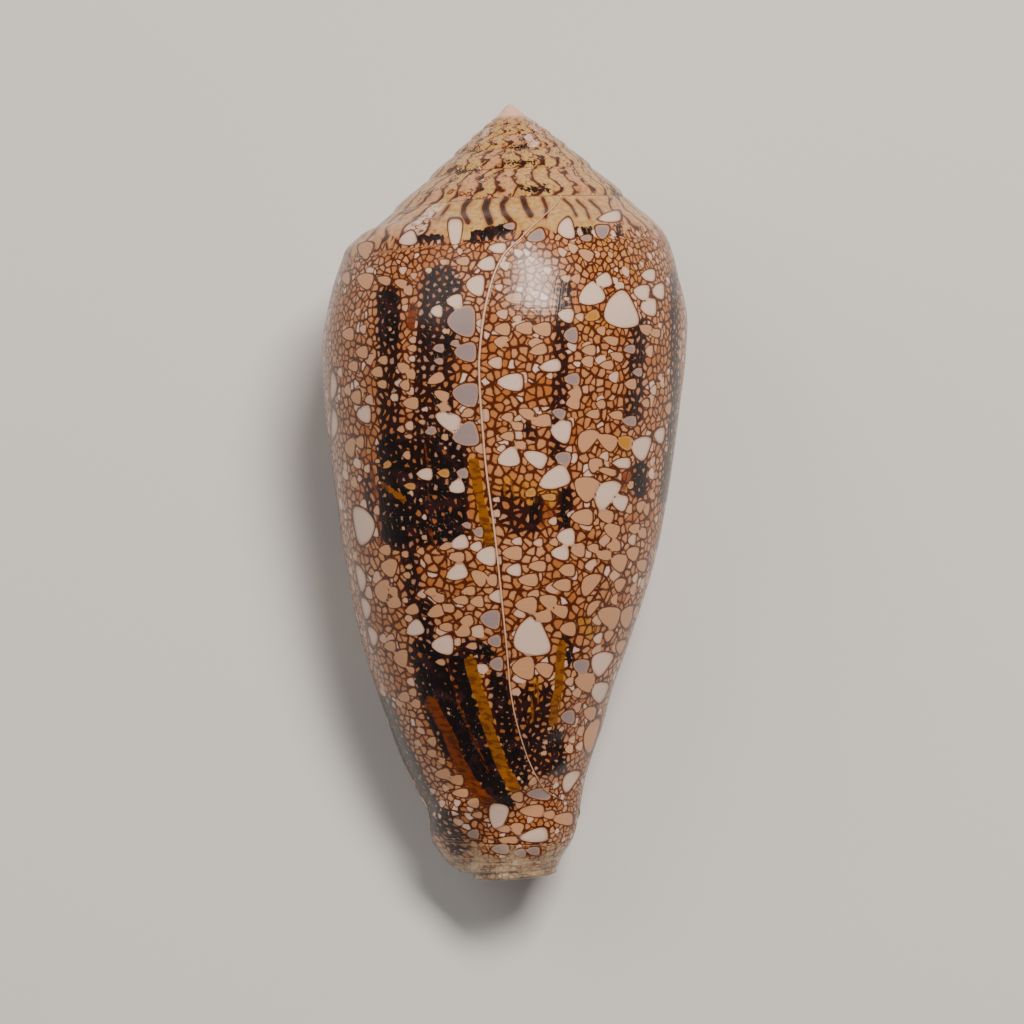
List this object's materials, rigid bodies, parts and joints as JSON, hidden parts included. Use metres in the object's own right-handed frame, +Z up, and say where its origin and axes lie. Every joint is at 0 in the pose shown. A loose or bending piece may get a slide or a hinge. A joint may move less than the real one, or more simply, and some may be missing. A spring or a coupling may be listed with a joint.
{
  "type": "cone seashell",
  "caption": "Tall cone-shaped seashell with a low pointed spire, rounded shoulder and a long open slit, lying on its opening side.",
  "frame": {"origin": "centre of the bounding box in plan, on the ground that the shell lies on", "axes": "+Y towards the pointed end, +Z up through the shell's back, +X to the right seen from above"},
  "size_m": [0.0378, 0.0796, 0.0347],
  "materials": {
    "shell": "gloss"
  },
  "bodies": {
    "root": {"shell": "shell"}
  },
  "joints": []
}
